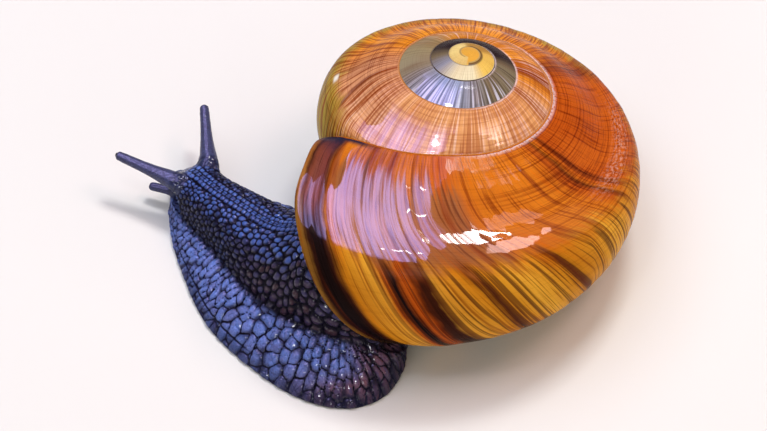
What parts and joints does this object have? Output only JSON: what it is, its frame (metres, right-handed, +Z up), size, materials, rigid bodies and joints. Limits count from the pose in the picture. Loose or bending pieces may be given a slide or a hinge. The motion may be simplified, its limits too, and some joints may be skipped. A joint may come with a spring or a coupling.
{
  "type": "model of a striped land snail",
  "caption": "Life-size still model of a large land snail at rest on its broad foot: a low coiled glossy shell with dark stripes, knobbly neck and foot, head turned aside, feelers out.",
  "frame": {"origin": "middle of the object's footprint, on the floor the sole rests on", "axes": "+Z up; -Y is ahead of the animal, +X is its left side, the tail lies towards +X and +Y"},
  "size_m": [0.0404, 0.0527, 0.023],
  "materials": {
    "shell_horn": "glossy horn-like shell, orange and olive with dark stripes",
    "skin": "moist, pebbled blue-black skin",
    "mantle": "moist, smooth dark skin",
    "eye": "glossy black"
  },
  "bodies": {
    "root": {"shell": "shell_horn", "mantle": "mantle", "neck": "skin", "head": "skin", "foot_front": "skin", "foot_middle": "skin", "tail": "skin", "eye_stalk_left": "skin", "eye_stalk_right": "skin", "lower_feeler_left": "skin", "lower_feeler_right": "skin", "eye_left": "eye", "eye_right": "eye"}
  },
  "joints": []
}
